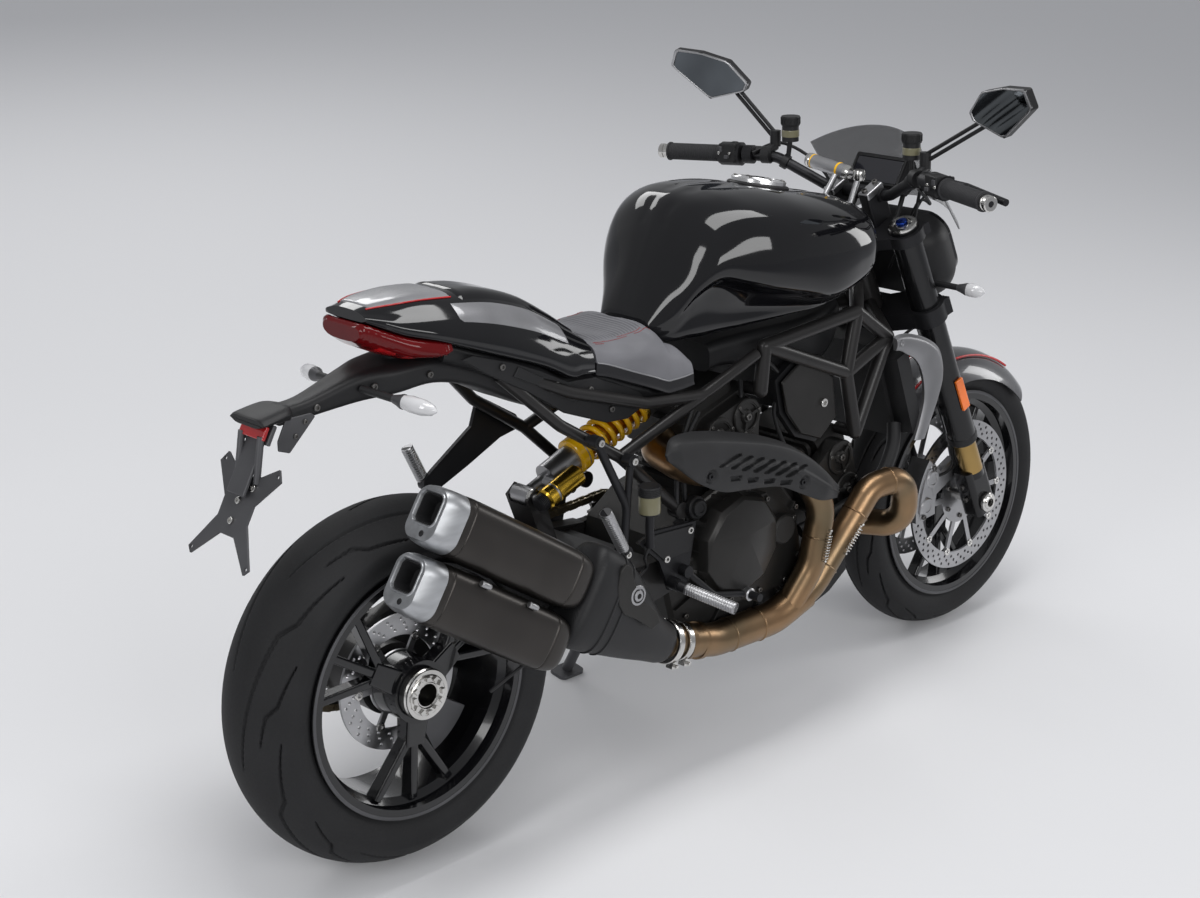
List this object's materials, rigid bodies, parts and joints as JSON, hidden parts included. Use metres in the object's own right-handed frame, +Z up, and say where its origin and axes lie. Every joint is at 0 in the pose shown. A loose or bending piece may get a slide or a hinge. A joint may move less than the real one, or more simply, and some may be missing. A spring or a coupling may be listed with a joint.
{
  "type": "standard motorcycle",
  "caption": "Naked sport motorcycle with tubular trellis frame, V engine, high side exhaust, chain drive and sport tyres, leaning on its side stand.",
  "frame": {"origin": "centre of the bounding box at floor level, under the middle of the parked motorcycle", "axes": "+X forward along the motorcycle, +Y to its left, towards the side stand, +Z up; the motorcycle leans 9.5 degrees to its left"},
  "size_m": [2.1427, 0.9086, 1.3111],
  "materials": {
    "tyre_rubber": "matt black rubber",
    "wheel_black": "gloss black paint",
    "disc_steel": "drilled, ground faces",
    "sprocket_steel": "satin",
    "axle_steel": "polished",
    "fork_black": "black anodised",
    "stanchion_gold": "gold nitride coat",
    "clamp_black": "black anodised",
    "bar_black": "black anodised",
    "grip_rubber": "matt ribbed rubber",
    "control_black": "satin black",
    "mirror_black": "satin black",
    "reservoir_yellow": "translucent cup, black lid",
    "damper_silver": "polished",
    "panel_black": "dark display in a grey case",
    "lamp_black": "black shell, clear lens",
    "screen_smoke": "dark smoked sheet",
    "body_black": "gloss black paint",
    "guard_grey": "grey with a red stripe",
    "caliper_silver": "satin",
    "caliper_grey": "satin",
    "indicator_clear": "clear lens, black stem",
    "engine_grey": "dark grey cast",
    "cover_black": "satin dark grey",
    "frame_black": "satin dark grey paint",
    "swingarm_black": "satin black",
    "shock_silver": "silver body",
    "spring_yellow": "yellow paint",
    "chain_steel": "oiled",
    "pipe_bronze": "heat-tinted satin",
    "silencer_dark": "satin dark",
    "cap_aluminium": "brushed",
    "shield_grey": "ribbed dark grey",
    "radiator_black": "black fins",
    "radiator_silver": "brushed",
    "plastic_black": "matt black",
    "cap_silver": "satin silver",
    "seat_grey": "grey ribbed cover",
    "tail_red": "red lens",
    "peg_silver": "satin",
    "stand_black": "satin black"
  },
  "bodies": {
    "chassis": {"crankcase": "engine_grey", "cylinders": "engine_grey", "engine_covers": "cover_black", "belt_covers": "cover_black", "main_frame": "frame_black", "rear_subframe": "frame_black", "swingarm": "swingarm_black", "swingarm_pivot": "axle_steel", "shock_absorber": "shock_silver", "shock_spring": "spring_yellow", "drive_chain": "chain_steel", "exhaust_pipes": "pipe_bronze", "silencers": "silencer_dark", "silencer_caps": "cap_aluminium", "heat_shield": "shield_grey", "radiator": "radiator_black", "radiator_guards": "radiator_silver", "belly_pan": "plastic_black", "fuel_tank": "body_black", "airbox": "plastic_black", "rider_seat": "seat_grey", "tail_cowl": "body_black", "tail_light": "tail_red", "undertray": "plastic_black", "plate_carrier": "plastic_black", "rear_indicators": "indicator_clear", "rider_footrests": "peg_silver", "passenger_footrests": "peg_silver", "foot_controls": "peg_silver", "rear_caliper": "caliper_grey"},
    "steering": {"triple_clamps": "clamp_black", "fork_outer_tubes": "fork_black", "fork_inner_tubes": "stanchion_gold", "front_spindle": "axle_steel", "front_calipers": "caliper_silver", "front_mudguard": "guard_grey", "headlamp": "lamp_black", "instrument_panel": "panel_black", "flyscreen": "screen_smoke", "handlebar": "bar_black", "grips": "grip_rubber", "bar_controls": "control_black", "mirrors": "mirror_black", "fluid_reservoirs": "reservoir_yellow", "steering_damper": "damper_silver", "front_indicators": "indicator_clear"},
    "front_wheel": {"front_rim": "wheel_black", "front_tyre": "tyre_rubber", "front_discs": "disc_steel"},
    "rear_wheel": {"rear_rim": "wheel_black", "rear_tyre": "tyre_rubber", "rear_disc": "disc_steel", "rear_sprocket": "sprocket_steel", "rear_spindle": "axle_steel"},
    "side_stand": {"side_stand": "stand_black"},
    "fuel_cap": {"filler_cap": "cap_silver"}
  },
  "joints": [
    {"name": "rear_wheel_spin", "type": "hinge", "parent": "chassis", "child": "rear_wheel", "pos_m": [-0.73746, -0.14772, 0.32291], "axis": [0, 0.9863, -0.165], "continuous": true},
    {"name": "steering", "type": "hinge", "parent": "chassis", "child": "steering", "pos_m": [0.49841, -0.06914, 0.79252], "axis": [-0.4115, 0.1504, 0.8989], "range_deg": [-28, 28]},
    {"name": "front_wheel_spin", "type": "hinge", "parent": "steering", "child": "front_wheel", "pos_m": [0.77154, -0.15201, 0.29727], "axis": [0, 0.9863, -0.165], "continuous": true},
    {"name": "side_stand_fold", "type": "hinge", "parent": "chassis", "child": "side_stand", "pos_m": [-0.09746, -0.01624, 0.23612], "axis": [-0.1973, 0.9803, 0.0072], "range_deg": [0, 99.5]},
    {"name": "fuel_cap_lid", "type": "hinge", "parent": "chassis", "child": "fuel_cap", "pos_m": [0.24456, -0.02806, 1.03799], "axis": [0, 0.9863, -0.165], "range_deg": [0, 90]}
  ]
}
